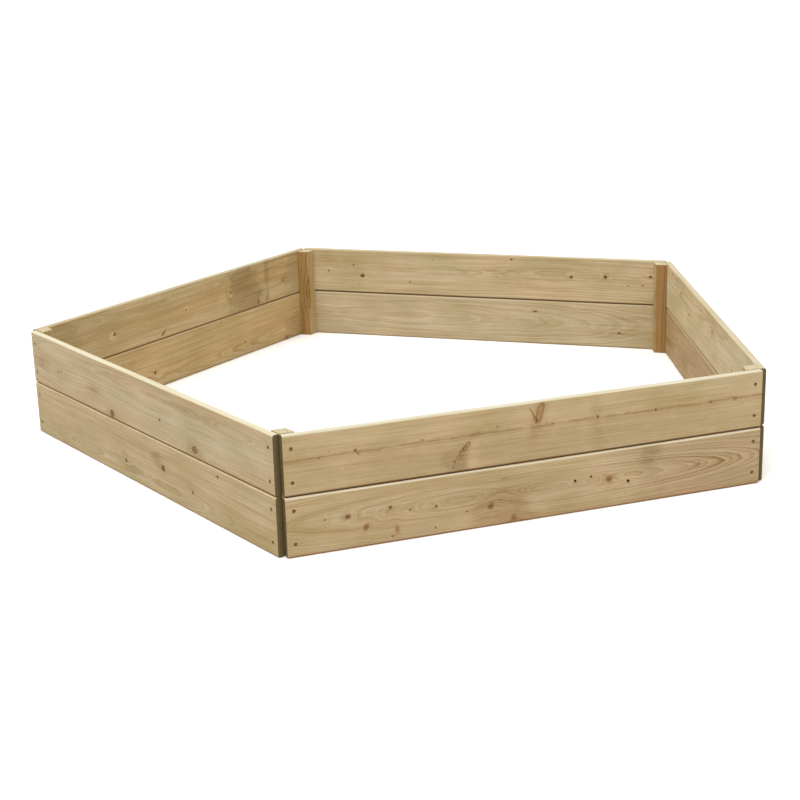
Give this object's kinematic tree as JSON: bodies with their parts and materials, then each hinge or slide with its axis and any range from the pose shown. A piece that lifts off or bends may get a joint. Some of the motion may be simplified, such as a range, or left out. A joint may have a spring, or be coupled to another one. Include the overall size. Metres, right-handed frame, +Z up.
{
  "type": "sandbox",
  "caption": "Five-sided wooden garden sandbox frame, open above and below, of two rows of planks screwed to a post in each inside corner, without a cover.",
  "frame": {"origin": "on the ground, in the middle of the frame's bounding box", "axes": "+X along the front side, +Y from the front side to the rear corner, +Z up"},
  "size_m": [1.6484, 1.5678, 0.241],
  "materials": {
    "plank_wood": "planed pressure-treated softwood, pale greenish tan, matte",
    "post_wood": "sawn and planed pressure-treated softwood, redder heartwood, matte",
    "screw_steel": "dulled yellow-passivated steel"
  },
  "bodies": {
    "root": {"front_lower_plank": "plank_wood", "front_upper_plank": "plank_wood", "right_lower_plank": "plank_wood", "right_upper_plank": "plank_wood", "rear_right_lower_plank": "plank_wood", "rear_right_upper_plank": "plank_wood", "rear_left_lower_plank": "plank_wood", "rear_left_upper_plank": "plank_wood", "left_lower_plank": "plank_wood", "left_upper_plank": "plank_wood", "front_left_post": "post_wood", "front_right_post": "post_wood", "right_post": "post_wood", "rear_post": "post_wood", "left_post": "post_wood", "front_left_screws": "screw_steel", "front_right_screws": "screw_steel", "right_screws": "screw_steel", "rear_screws": "screw_steel", "left_screws": "screw_steel"}
  },
  "joints": []
}
